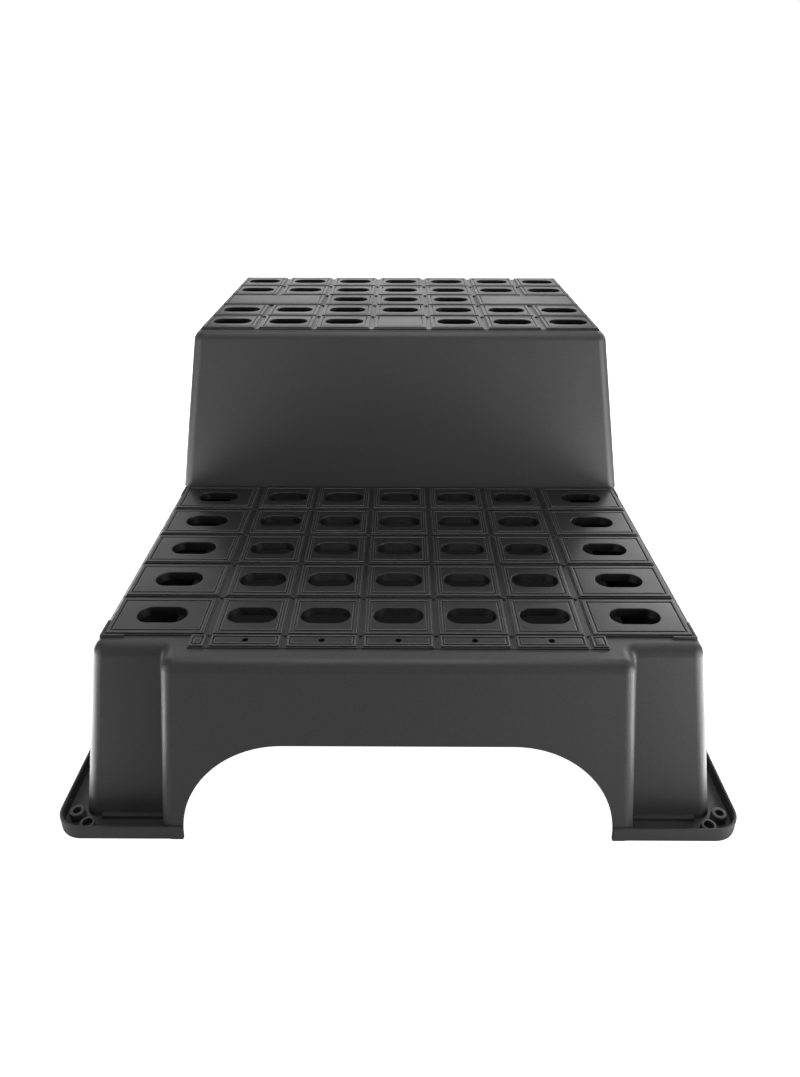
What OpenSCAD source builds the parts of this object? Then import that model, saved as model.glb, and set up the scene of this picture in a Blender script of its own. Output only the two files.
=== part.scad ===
// Two-tread spa steps: a lower shell with an arched front, an upper shell bolted on it,
// and drained tread strips pressed into both decks. Millimetres, +Z up, front towards -Y.
// The origin is on the floor, at the middle of the footprint.

/* [Steps] */
// Rise of each step, from the floor or tread below to the top of its pads
step_rise = 190; // [160:1:230]
// Slope of the outer walls from the vertical, in degrees
wall_draft = 9; // [6:0.5:10]
// Radius of the shells' outer edges
edge_r = 12; // [8:0.5:16]

/* [Tread pads] */
// Rows of pads on each tread
pad_rows = 5; // [4:1:6]
// Distance between pads across the tread
pad_pitch_x = 69; // [60:0.5:84]
// Distance between rows of pads
pad_pitch_y = 64; // [52:0.5:78]
// Channel between two pads
pad_gap = 7; // [4:0.5:10]
// Channel beside the two wide columns of the lower tread
wide_gap = 9; // [5:0.5:12]
// Height of the pads above the deck
pad_h = 3; // [2:0.25:4]
// Flat band round each pad's inner plate
pad_band = 5; // [3:0.25:7]
// Width of the groove round the inner plate
groove_w = 1.6; // [1:0.1:2.5]
// Depth of the groove
groove_d = 1.2; // [0.6:0.1:1.6]
// Length of a drain slot, across the tread
slot_w = 47; // [36:0.5:50]
// Width of a drain slot
slot_d = 25.5; // [16:0.5:31]
// Thickness of the web that joins the pads of a strip and edges them
web_h = 1.2; // [0.8:0.1:1.8]
// How far the web stands out round a strip's pads
web_edge = 1.2; // [0.6:0.1:1.4]
// Wall of the collar under each slot
collar_t = 1.6; // [1.2:0.1:2.4]
// How far a collar reaches below the deck
collar_reach = 3; // [2.5:0.5:8]
// How far a collar's snap rib stands out
snap_proud = 1; // [0.6:0.1:1.4]
// Side clearance of a collar in its deck slot
collar_fit = 0.3; // [0.2:0.05:0.5]
// Flat margin outside the pads at each side of a deck
side_margin = 8; // [6:0.5:14]
// Flat margin between the lower pads and the riser
riser_margin = 4; // [2:0.5:10]
// Flat margin at the front and back of the upper pads
upper_margin = 13.3; // [10:0.1:20]

/* [Nosing] */
// Depth of the nosing bars at the front of the lower tread
nosing_d = 16; // [12:0.5:20]
// Gap between the nosing and the front row of pads
nosing_gap = 3; // [2:0.5:6]
// Distance from the apron's face to the nosing, at the deck
nosing_setback = 23.5; // [18:0.5:30]
// Bore in the middle of each nosing bar
nosing_bore = 5.5; // [4:0.5:8]
// Width of the small square at each end of the nosing
end_square_w = 13; // [10:0.5:16]
// Length of the raised corner marks beside the wide pads
mark_l = 22; // [14:1:30]
// Width of the raised corner marks
mark_w = 2.5; // [1.5:0.25:3.5]
// Height of the raised corner marks
mark_h = 2.2; // [1:0.1:3]

/* [Shells] */
// Thickness of the side, front and back walls
wall_t = 3.5; // [2.5:0.25:5]
// Thickness of the decks and of the flange between the shells
deck_t = 4; // [3:0.25:6]
// Thickness of the ribs under the decks
rib_t = 2.5; // [2:0.25:4]
// Depth of the ribs under the decks
rib_h = 14; // [8:1:25]
// Width of the ledge on which the upper shell is bolted
ledge_w = 26; // [22:1:40]

/* [Apron] */
// How far the front apron stands out from the legs
apron_proud = 24; // [18:0.5:32]
// Distance from the apron's side to the inner edge of the wide pads
apron_side = 31; // [22:1:45]
// Slope of the apron's sides, in degrees
apron_draft = 5; // [3:0.5:8]
// Half width of the arch at the floor
arch_half = 203; // [150:1:208]
// Height of the arch
arch_h = 104; // [70:1:120]
// Radius of the arch's upper corners
arch_r = 98; // [50:1:110]

/* [Base tray] */
// Width of the tray beside the side walls, to the outside of its lip
tray_side = 20.2; // [18:0.2:30]
// Thickness of the tray's floor
tray_t = 3.5; // [3:0.25:5]
// Thickness of the lip round the tray
lip_t = 3; // [2:0.25:4.5]
// Height of the lip above the floor
lip_h = 17; // [13:0.5:24]
// Radius of the tray's corners
tray_r = 25; // [22:1:32]
// Outer diameter of the bosses in the tray's corners
boss_d = 14.2; // [13:0.2:15]
// Height of the bosses above the floor
boss_h = 13.6; // [11:0.2:16]
// Bore of the anchor bosses
anchor_d = 8; // [6:0.25:9]

/* [Fasteners and feet] */
// Shank diameter of the foot screws
screw_d = 4.5; // [3.5:0.25:5]
// Head diameter of the foot screws
screw_head_d = 9; // [7.5:0.25:9.5]
// Shank diameter of the bolts that join the shells
bolt_d = 6; // [5:0.5:8]
// Clearance of a screw or bolt in its hole, on the diameter
hole_fit = 0.4; // [0.2:0.1:0.8]
// Thickness of the rubber feet
foot_t = 3; // [2:0.25:4]
// How far the feet stand out under the tray
foot_proud = 1.5; // [1:0.25:2]
// Length of each arm of a foot
foot_l = 90; // [60:1:140]

/* [Hidden] */
$fn = 48;
hull_fn = 32;
tiny = 0.01;
cut = 1;

// Pads
wide_cols = 2;
upper_cols = 7;
inner_cols = upper_cols - wide_cols;
pad_w = pad_pitch_x - pad_gap;
pad_d = pad_pitch_y - pad_gap;
field_d = pad_rows * pad_pitch_y - pad_gap;
upper_field_half = (upper_cols * pad_pitch_x - pad_gap) / 2;
inner_field_half = (inner_cols * pad_pitch_x - pad_gap) / 2;

// Levels
lower_z = step_rise - pad_h;
upper_z = 2 * step_rise - pad_h;
slope = tan(wall_draft);
// How far a wall leans out over each height, kept to a hundredth of a millimetre
function hundredths(v) = round(v * 100) / 100;
lower_run = hundredths(lower_z * slope);
step_run = hundredths(step_rise * slope);
upper_run = lower_run + step_run;

// Half widths, where a wall's face meets each level
upper_half = upper_field_half + side_margin;
lower_half = upper_half + step_run;
foot_half = upper_half + upper_run;
tray_half = foot_half + tray_side;
wide_in = inner_field_half + wide_gap;
wide_out = lower_half - side_margin;
wide_w = wide_out - wide_in;
apron_half = wide_in + apron_side;

// Depths, counted back from the front of the lip
apron_top = lower_run;
leg_top = apron_top + apron_proud;
nosing_front = apron_top + nosing_setback;
lower_pads = nosing_front + nosing_d + nosing_gap;
riser_foot = lower_pads + field_d + riser_margin;
riser_top = riser_foot + step_run;
upper_pads = riser_top + upper_margin;
back_top = upper_pads + field_d + upper_margin;
back_foot = back_top + upper_run;
tray_back = back_foot + apron_proud;
y_front = -tray_back / 2;

// Corner bosses, from the centre of the leg's corner round
anchor_x = foot_half + 5;
anchor_y = tray_back / 2 - apron_proud;
screw_x = foot_half - edge_r + 2;
screw_y = tray_back / 2 - lip_t - boss_d / 2 + 0.4;

// Joint between the shells
ledge_r = 20;
open_half = lower_half - ledge_w;
open_front = riser_foot + ledge_w;
lower_back = back_top + step_run;
open_back = lower_back - ledge_w;
bolt_inset = ledge_w * 0.45;
bolt_head_d = bolt_d * 1.7;
bolt_head_h = bolt_d * 0.6;
nut_across = bolt_d * 1.95;
nut_h = bolt_d * 0.8;
bolt_tail = 1.5;
bolt_spans_x = 3;
bolt_spans_y = 2;
bolt_corner = 60;
washer_t = 1.2;
washer_d = bolt_d * 2;

// Gap between a collar's snap rib and the deck above it
snap_gap = 0.2;

// Gap between the corner marks and a strip's web, and how far they root in the deck's edge round
mark_gap = 0.2;
mark_root = 3;

// Feet and screws
foot_w = 13;
foot_fit = 0.2;
foot_inset = lip_t + 1.5;
screw_head_h = 3.2;
screw_seat = foot_proud + tray_t + 1;
drive_d = 4;
drive_depth = 1.6;

lower_rows_names = [for (i = [1:pad_rows]) str("lower_tread_strip_", i)];
upper_rows_names = [for (i = [1:pad_rows]) str("upper_tread_strip_", i)];
corners = [["front_left", -1, -1], ["front_right", 1, -1], ["rear_left", -1, 1], ["rear_right", 1, 1]];
foot_names = [for (c = corners) str("rubber_foot_", c[0])];

shell_grey = [0.20, 0.20, 0.21];
tread_grey = [0.27, 0.27, 0.28];
rubber_black = [0.07, 0.07, 0.07];
steel_grey = [0.55, 0.56, 0.58];

// Plain shapes

module stadium(w, d) {
    square([w - d, d], center = true);
    for (s = [-1, 1]) translate([s * (w - d) / 2, 0]) circle(d = d);
}

module rounded_rect(half, y0, y1, r) {
    translate([-half + r, y0]) square([2 * (half - r), y1 - y0]);
    translate([-half, y0 + r]) square([2 * half, y1 - y0 - 2 * r]);
    for (x = [-half + r, half - r], y = [y0 + r, y1 - r]) translate([x, y]) circle(r = r);
}

// A quarter ball on a vertical axis, whose top and sides lie exactly on the radius
module edge_ball(r)
    rotate_extrude($fn = hull_fn)
        polygon(concat([[0, 0]], [for (a = [0:90 / 8:90]) [r * cos(a), r * sin(a)]]));

// How far in from a sloping wall's top edge the centre of its edge round lies
function round_inset(r, draft) = r / cos(draft) - r * tan(draft);

// A block with sloping walls and round edges. half, y0 and y1 are where its walls' faces
// meet the plane of its top, z1
module drafted_block(half, y0, y1, z0, z1, r, side_draft = wall_draft) {
    side = round_inset(r, side_draft);
    end = round_inset(r, wall_draft);
    drop_x = (z1 - z0) * tan(side_draft);
    drop_y = (z1 - z0) * slope;
    hull() {
        for (x = [-half + side, half - side], y = [y0 + end, y1 - end])
            translate([x, y, z1 - r]) edge_ball(r);
        for (x = [-half - drop_x + r, half + drop_x - r], y = [y0 - drop_y + r, y1 + drop_y - r])
            translate([x, y, z0]) cylinder(r = r, h = tiny, $fn = hull_fn);
    }
}

// The same block with its top edges left sharp and its front upright, to carry on a wall
module sharp_block(half, y0, y1, z0, z1, r) {
    drop = (z1 - z0) * slope;
    hull() {
        for (x = [-half + r, half - r], y = [y0 + r, y1 - r])
            translate([x, y, z1 - tiny]) cylinder(r = r, h = tiny, $fn = hull_fn);
        for (x = [-half - drop + r, half + drop - r], y = [y0 + r, y1 + drop - r])
            translate([x, y, z0]) cylinder(r = r, h = tiny, $fn = hull_fn);
    }
}

// Room inside a drafted block, for walls of wall_t and a top of deck_t
module drafted_room(half, y0, y1, z0, z1, side_draft = wall_draft) {
    side = deck_t * tan(side_draft) - wall_t / cos(side_draft);
    end = deck_t * slope - wall_t / cos(wall_draft);
    drafted_block(half + side, y0 - end, y1 + end, z0, z1 - deck_t, edge_r - wall_t, side_draft);
}

// Places: centres of the pads' columns and rows, and of the bolts

function inner_cols_x() = [for (i = [0:inner_cols - 1]) (i - (inner_cols - 1) / 2) * pad_pitch_x];
function upper_cols_x() = [for (i = [0:upper_cols - 1]) (i - (upper_cols - 1) / 2) * pad_pitch_x];
function wide_cols_x() = [-(wide_in + wide_out) / 2, (wide_in + wide_out) / 2];
function lower_row_y(row) = y_front + lower_pads + pad_d / 2 + (row - 1) * pad_pitch_y;
function upper_row_y(row) = y_front + upper_pads + pad_d / 2 + (row - 1) * pad_pitch_y;
plate_row = ceil(pad_rows / 2);
plate_cols = 2;
blank_col = floor(upper_cols / 2);
function upper_slot_x(row) = row == plate_row ?
    [for (i = [plate_cols:upper_cols - 1 - plate_cols]) upper_cols_x()[i]] : upper_cols_x();
function is_blank(row, x) = row == 1 && x == upper_cols_x()[blank_col];
function upper_slots(row) = [for (x = upper_slot_x(row)) if (!is_blank(row, x)) x];

function between(a, b, n) = [for (i = [0:n]) a + (b - a) * i / n];
bolt_x = open_half + bolt_inset;
bolt_y0 = y_front + open_front - bolt_inset;
bolt_y1 = y_front + open_back + bolt_inset;
bolt_places = concat(
    [for (y = [bolt_y0, bolt_y1], x = between(-bolt_x + ledge_r, bolt_x - ledge_r, bolt_spans_x)) [x, y]],
    [for (x = [-bolt_x, bolt_x], y = between(bolt_y0 + bolt_corner, bolt_y1 - bolt_corner, bolt_spans_y)) [x, y]]);

// Slots through a deck for the collars of one row
module deck_slots(xs, y, z) {
    grow = 2 * (collar_t + collar_fit);
    for (x = xs) translate([x, y, z - deck_t - rib_h - cut]) linear_extrude(deck_t + rib_h + 2 * cut)
        stadium(slot_w + grow, slot_d + grow);
}

// A grid of ribs under a deck, in the channels between its pads
module rib_grid(xs, ys, half, y0, y1, z) {
    for (x = xs) translate([x - rib_t / 2, y0, z - deck_t - rib_h]) cube([rib_t, y1 - y0, rib_h + cut]);
    for (y = ys) translate([-half, y - rib_t / 2, z - deck_t - rib_h]) cube([2 * half, rib_t, rib_h + cut]);
}

function between_rows(first) = [for (i = [1:pad_rows - 1]) first + (i - 0.5) * pad_pitch_y];
function between_cols(xs) = [for (i = [1:len(xs) - 1]) (xs[i - 1] + xs[i]) / 2];

module ledge_opening(z0, h) {
    translate([0, 0, z0]) linear_extrude(h)
        rounded_rect(open_half, y_front + open_front, y_front + open_back, ledge_r);
}

module bolt_holes(z0, h)
    for (p = bolt_places) translate([p[0], p[1], z0]) cylinder(d = bolt_d + hole_fit, h = h);

// Lower shell

module base_outside() {
    drafted_block(lower_half, y_front + leg_top, y_front + lower_back,
        foot_proud, lower_z, edge_r);
    sharp_block(lower_half, y_front + riser_foot, y_front + lower_back,
        foot_proud, lower_z, edge_r);
    drafted_block(apron_half, y_front + apron_top, y_front + riser_foot - step_run,
        foot_proud, lower_z, edge_r, apron_draft);
}

module base_room() {
    difference() {
        union() {
            drafted_room(lower_half, y_front + leg_top, y_front + lower_back,
                -cut, lower_z);
            drafted_room(apron_half, y_front + apron_top, y_front + riser_foot - step_run,
                -cut, lower_z, apron_draft);
        }
        rib_grid(concat([-(inner_field_half + wide_gap / 2)], between_cols(inner_cols_x()),
                [inner_field_half + wide_gap / 2]),
            between_rows(lower_row_y(1)), lower_half, y_front + apron_top, y_front + open_front - cut,
            lower_z);
    }
}

module tray() {
    translate([0, 0, foot_proud]) linear_extrude(tray_t)
        rounded_rect(tray_half, y_front, -y_front, tray_r);
    translate([0, 0, foot_proud]) linear_extrude(lip_h - foot_proud) difference() {
        rounded_rect(tray_half, y_front, -y_front, tray_r);
        rounded_rect(tray_half - lip_t, y_front + lip_t, -y_front - lip_t, tray_r - lip_t);
    }
    for (c = corners, at = [[anchor_x, anchor_y], [screw_x, screw_y]]) at_corner(c[1], c[2])
        translate([at[0], at[1], foot_proud]) cylinder(d = boss_d, h = boss_h - foot_proud);
}

module arch() {
    top_half = arch_half - arch_r;
    translate([0, y_front + leg_top, 0]) rotate([90, 0, 0]) linear_extrude(leg_top + cut) {
        translate([-top_half, -cut]) square([2 * top_half, arch_h + cut]);
        translate([-arch_half, -cut]) square([2 * arch_half, arch_h - arch_r + cut]);
        for (x = [-top_half, top_half]) translate([x, arch_h - arch_r]) circle(r = arch_r, $fn = 96);
    }
}

// Raised marks at the outer corners of the wide pads
module corner_marks() {
    gap = web_edge + mark_gap;
    for (s = [-1, 1], end = [[lower_pads, -1], [lower_pads + field_d, 1]]) {
        x = s * (wide_out + gap);
        y = y_front + end[0] + end[1] * gap;
        translate([min(x, x + s * mark_w), min(y, y - end[1] * mark_l), lower_z - mark_root])
            cube([mark_w, mark_l, mark_h + mark_root]);
        translate([min(x + s * mark_w, x - s * mark_l), min(y, y + end[1] * mark_w), lower_z - mark_root])
            cube([mark_l + mark_w, mark_w, mark_h + mark_root]);
    }
}

module foot_outline(grow) {
    x1 = tray_half - foot_inset + grow;
    y1 = -y_front - foot_inset + grow;
    r = tray_r - foot_inset + grow;
    w = foot_w + 2 * grow;
    translate([x1 - foot_l - grow, y1 - w]) square([foot_l + grow - r, w]);
    translate([x1 - w, y1 - foot_l - grow]) square([w, foot_l + grow - r]);
    intersection() {
        translate([x1 - r, y1 - r]) circle(r = r);
        translate([x1 - r, y1 - r]) square(r);
    }
}

// Puts a corner's pieces, drawn at the rear right, at any of the four corners
module at_corner(side_x, side_y)
    mirror([side_x < 0 ? 1 : 0, 0, 0]) mirror([0, side_y < 0 ? 1 : 0, 0]) children();

module base_shell() {
    color(shell_grey) difference() {
        union() {
            base_outside();
            tray();
            corner_marks();
        }
        base_room();
        arch();
        ledge_opening(lower_z - deck_t - cut, deck_t + 2 * cut);
        bolt_holes(lower_z - deck_t - cut, deck_t + 2 * cut);
        for (row = [1:pad_rows]) deck_slots(concat(inner_cols_x(), wide_cols_x()), lower_row_y(row), lower_z);
        for (x = inner_cols_x()) translate([x, y_front + nosing_front + nosing_d / 2, lower_z - deck_t - cut])
            cylinder(d = nosing_bore, h = deck_t + 2 * cut);
        for (c = corners) at_corner(c[1], c[2]) {
            translate([0, 0, foot_proud - cut]) linear_extrude(foot_t - foot_proud + cut) foot_outline(foot_fit);
            translate([anchor_x, anchor_y, -cut]) cylinder(d = anchor_d, h = boss_h + 2 * cut);
            translate([screw_x, screw_y, -cut]) cylinder(d = screw_d + hole_fit, h = boss_h);
            translate([screw_x, screw_y, screw_seat]) cylinder(d = screw_head_d + 2 * hole_fit, h = boss_h);
        }
    }
}

// Upper shell

module upper_room() {
    front = y_front + riser_top;
    back = y_front + back_top;
    difference() {
        drafted_room(upper_half, front, back, lower_z + deck_t, upper_z);
        rib_grid(between_cols(upper_cols_x()), between_rows(upper_row_y(1)), upper_half, front, back, upper_z);
    }
}

module upper_shell() {
    color(shell_grey) difference() {
        drafted_block(upper_half, y_front + riser_top, y_front + back_top, lower_z, upper_z, edge_r);
        upper_room();
        ledge_opening(lower_z - cut, deck_t + 2 * cut);
        bolt_holes(lower_z - cut, deck_t + 2 * cut);
        for (row = [1:pad_rows]) deck_slots(upper_slots(row), upper_row_y(row), upper_z);
    }
}

// Tread strips

// The groove that frames a pad's inner plate
module pad_groove(w, d, band) {
    translate([0, 0, pad_h - groove_d]) linear_extrude(groove_d + cut) difference() {
        square([w - 2 * band, d - 2 * band], center = true);
        square([w - 2 * band - 2 * groove_w, d - 2 * band - 2 * groove_w], center = true);
    }
}

module collar() {
    grow = 2 * collar_t;
    reach = deck_t + collar_reach;
    translate([0, 0, -reach]) linear_extrude(reach + tiny) stadium(slot_w + grow, slot_d + grow);
    for (s = [-1, 1]) translate([0, s * (slot_d / 2 + collar_t), -deck_t - snap_proud - snap_gap])
        rotate([0, 90, 0]) cylinder(r = snap_proud, h = slot_w / 4, center = true, $fn = 24);
}

module pad(w, slotted) {
    difference() {
        union() {
            translate([-w / 2, -pad_d / 2, 0]) cube([w, pad_d, pad_h]);
            if (slotted) collar();
        }
        pad_groove(w, pad_d, pad_band - groove_w);
        if (slotted) translate([0, 0, -deck_t - collar_reach - cut])
            linear_extrude(deck_t + collar_reach + pad_h + 2 * cut) stadium(slot_w, slot_d);
    }
}

// The web under a strip, cleared away where the slots pass through it
module strip_web(half, d, h, slots) {
    difference() {
        translate([-half - web_edge, -d / 2 - web_edge, 0]) cube([2 * (half + web_edge), d + 2 * web_edge, h]);
        for (x = slots) translate([x, 0, -cut]) linear_extrude(h + 2 * cut) stadium(slot_w, slot_d);
    }
}

module lower_tread_strip(row) {
    color(tread_grey) translate([0, lower_row_y(row), lower_z]) {
        strip_web(wide_out, pad_d, web_h, concat(inner_cols_x(), wide_cols_x()));
        for (x = inner_cols_x()) translate([x, 0, 0]) pad(pad_w, true);
        for (x = wide_cols_x()) translate([x, 0, 0]) pad(wide_w, true);
    }
}

module upper_tread_strip(row) {
    xs = upper_slot_x(row);
    color(tread_grey) translate([0, upper_row_y(row), upper_z]) {
        strip_web(xs[len(xs) - 1] + pad_w / 2, pad_d, web_h, upper_slots(row));
        for (x = xs) translate([x, 0, 0]) pad(pad_w, !is_blank(row, x));
    }
}

module blank_plate(side) {
    w = (plate_cols - 1) * pad_pitch_x + pad_w;
    color(tread_grey) translate([side * (upper_field_half - w / 2), upper_row_y(plate_row), upper_z]) {
        strip_web(w / 2, pad_d, web_h, []);
        pad(w, false);
    }
}

module nosing_strip() {
    band = nosing_gap;
    end_half = wide_in - pad_gap / 2;
    color(tread_grey) translate([0, y_front + nosing_front + nosing_d / 2, lower_z]) difference() {
        union() {
            strip_web(end_half + end_square_w, nosing_d, web_h, []);
            for (x = inner_cols_x()) translate([x - pad_w / 2, -nosing_d / 2, 0]) cube([pad_w, nosing_d, pad_h]);
            for (s = [-1, 1]) translate([s * (end_half + end_square_w / 2) - end_square_w / 2, -nosing_d / 2, 0])
                cube([end_square_w, nosing_d, pad_h]);
        }
        for (x = inner_cols_x()) translate([x, 0, 0]) pad_groove(pad_w, nosing_d, band - groove_w);
        for (s = [-1, 1]) translate([s * (end_half + end_square_w / 2), 0, 0])
            pad_groove(end_square_w, nosing_d, band - groove_w);
        for (x = inner_cols_x()) translate([x, 0, -cut]) cylinder(d = nosing_bore, h = pad_h + 2 * cut);
    }
}

// Feet and fasteners

module rubber_foot(side_x, side_y) {
    color(rubber_black) at_corner(side_x, side_y) difference() {
        linear_extrude(foot_t) foot_outline(0);
        translate([screw_x, screw_y, foot_proud / 2]) cylinder(d = screw_d, h = foot_t);
        translate([anchor_x, anchor_y, -cut]) cylinder(d = anchor_d + 2, h = foot_t + 2 * cut);
    }
}

module foot_screw() {
    difference() {
        union() {
            translate([0, 0, foot_proud / 2]) cylinder(d = screw_d, h = screw_seat);
            translate([0, 0, screw_seat]) cylinder(d = screw_head_d, h = screw_head_h);
        }
        translate([0, 0, screw_seat + screw_head_h - drive_depth]) cylinder(d = drive_d, h = drive_depth + cut, $fn = 6);
    }
}

module foot_screws() {
    color(steel_grey) for (c = corners) at_corner(c[1], c[2]) translate([screw_x, screw_y, 0]) foot_screw();
}

module shell_bolts() {
    grip = 2 * deck_t + washer_t;
    color(steel_grey) for (p = bolt_places) translate([p[0], p[1], lower_z + deck_t]) {
        translate([0, 0, -grip - nut_h - bolt_tail]) cylinder(d = bolt_d, h = grip + nut_h + bolt_tail + tiny);
        cylinder(d = bolt_head_d, h = bolt_head_h);
    }
}

module shell_washers() {
    color(steel_grey) for (p = bolt_places) translate([p[0], p[1], lower_z - deck_t - washer_t]) difference() {
        cylinder(d = washer_d, h = washer_t);
        translate([0, 0, -cut]) cylinder(d = bolt_d + hole_fit, h = washer_t + 2 * cut);
    }
}

module shell_nuts() {
    color(steel_grey) for (p = bolt_places) translate([p[0], p[1], lower_z - deck_t - washer_t - nut_h]) difference() {
        cylinder(d = nut_across, h = nut_h, $fn = 6);
        translate([0, 0, -cut]) cylinder(d = bolt_d, h = nut_h + 2 * cut);
    }
}

base_shell();
upper_shell();
for (row = [1:pad_rows]) {
    lower_tread_strip(row);
    upper_tread_strip(row);
}
nosing_strip();
blank_plate(-1);  // left_blank_plate
blank_plate(1);  // right_blank_plate
for (i = [0:3])
    rubber_foot(corners[i][1], corners[i][2]);
foot_screws();
shell_bolts();
shell_washers();
shell_nuts();
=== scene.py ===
import math

import bmesh
import bpy
from mathutils import Matrix, Vector


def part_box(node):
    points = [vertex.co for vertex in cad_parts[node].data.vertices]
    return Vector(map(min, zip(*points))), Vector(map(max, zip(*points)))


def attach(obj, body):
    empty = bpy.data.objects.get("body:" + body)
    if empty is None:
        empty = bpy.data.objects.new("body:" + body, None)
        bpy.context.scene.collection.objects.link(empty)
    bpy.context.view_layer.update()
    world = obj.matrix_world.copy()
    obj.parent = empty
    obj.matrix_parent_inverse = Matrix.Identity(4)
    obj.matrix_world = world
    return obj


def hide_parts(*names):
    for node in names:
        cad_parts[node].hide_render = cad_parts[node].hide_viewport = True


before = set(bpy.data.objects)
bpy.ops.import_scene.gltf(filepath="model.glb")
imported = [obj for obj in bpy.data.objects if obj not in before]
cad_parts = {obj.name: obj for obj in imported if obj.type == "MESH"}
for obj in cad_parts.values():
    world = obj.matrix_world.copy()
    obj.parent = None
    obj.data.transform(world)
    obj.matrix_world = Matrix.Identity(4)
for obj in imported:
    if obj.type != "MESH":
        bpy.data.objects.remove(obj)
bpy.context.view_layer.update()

bl_info = {
    "name": "Spa steps",
    "version": (1, 0, 0),
    "blender": (4, 5, 0),
    "location": "3D View > Sidebar > Spa steps",
    "description": "Makes a pair of moulded spa steps with drained tread pads",
    "category": "Add Mesh",
}

MM = 0.001
TINY = 1e-6
FULL_TURN = 2 * math.pi

# Places that the frame gives: the base's outer lip, and the upper shell's foot and top
BASE_LOW, BASE_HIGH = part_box("base_shell")
UPPER_LOW, UPPER_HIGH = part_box("upper_shell")
LOWER_DECK = UPPER_LOW.z
UPPER_DECK = UPPER_HIGH.z
TREAD_ROWS = range(1, 6)
# Material slot of the pads' rounded edges, coloured paler as a painted highlight
PAINTED_HIGHLIGHT = 1
# How far cutters and joined shapes reach past the surface that they meet
CLEAR = MM
# Edges that fold more than this stay crisp in the shading
CREASE = math.radians(32)
# How much darker and paler than its colour a grained surface gets
DARK_GRAIN = 0.86
PALE_GRAIN = 1.16
# How far a surface's roughness drifts to either side, and how often
ROUGHNESS_DRIFT = 0.05
PATCHES_PER_METRE = 11


# Sizes and colours

def length(name, description, millimetres):
    """A size in metres, with its default given in millimetres."""
    return bpy.props.FloatProperty(
        name=name, description=description, default=millimetres * MM, unit="LENGTH", precision=5
    )


def angle(name, description, degrees):
    """An angle, with its default given in degrees."""
    return bpy.props.FloatProperty(
        name=name, description=description, default=math.radians(degrees), subtype="ANGLE"
    )


def colour(name, description, rgb):
    """A colour in linear light."""
    return bpy.props.FloatVectorProperty(
        name=name, description=description, default=rgb, size=3, subtype="COLOR", min=0, max=1
    )


def share(name, description, default, largest=1):
    """A plain number between 0 and its largest value."""
    return bpy.props.FloatProperty(
        name=name, description=description, default=default, min=0, max=largest
    )


class SpaStepsShells(bpy.types.PropertyGroup):
    """Sizes of the two moulded shells"""

    draft: angle("Wall draft", "Slope of the outer walls from the vertical", 9)
    apron_draft: angle("Apron draft", "Slope of the apron's two sides", 5)
    edge_radius: length("Edge radius", "Radius of the outer edges", 12)
    fillet_radius: length("Fillet radius", "Fillet between the legs and the apron", 5)
    wall: length("Wall", "Thickness of the walls", 3.5)
    deck: length("Deck", "Thickness of the decks", 4)
    bolt_hole: length("Bolt hole", "Diameter of the holes for the bolts between the shells", 6.4)
    bolt_inset: length("Bolt inset", "How far the sides' end bolts lie inside the front and back rows", 60)
    bolt_share: share("Bolt place", "Where the bolts stand, as a share of the ledge's width", 0.45)
    rib: length("Rib", "Thickness of the ribs under the decks", 2.5)
    rib_depth: length("Rib depth", "How far the long ribs hang under the decks", 14)
    cross_rib_depth: length("Cross rib depth", "How far the cross ribs hang under the decks", 13.5)
    rib_end: length("Rib end", "How far the ribs stop short of the outer faces of the walls", 5.5)
    ledge: length("Ledge", "Width of the ledge where the two shells are bolted", 26)
    ledge_corner: length("Ledge corner", "Radius of the opening's corners inside the ledge", 20)
    ledge_cut: length("Ledge cut", "How far below the deck that opening is cut clear", 30)
    apron_half: length("Apron half width", "Half the width of the apron at the deck", 209)
    apron_proud: length("Apron proud", "How far the apron stands out from the legs", 24)
    arch_half: length("Arch half width", "Half the width of the arch at the floor", 203)
    arch_height: length("Arch height", "Height of the arch", 104)
    arch_radius: length("Arch radius", "Radius of the arch's shoulders", 98)
    rim: length("Rim round", "Round on the arch's rim", 0.9)
    stud: length("Stud radius", "Radius of the small studs where the channels cross", 1.4)
    stud_height: length("Stud height", "Height of the small studs", 2.4)


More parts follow.
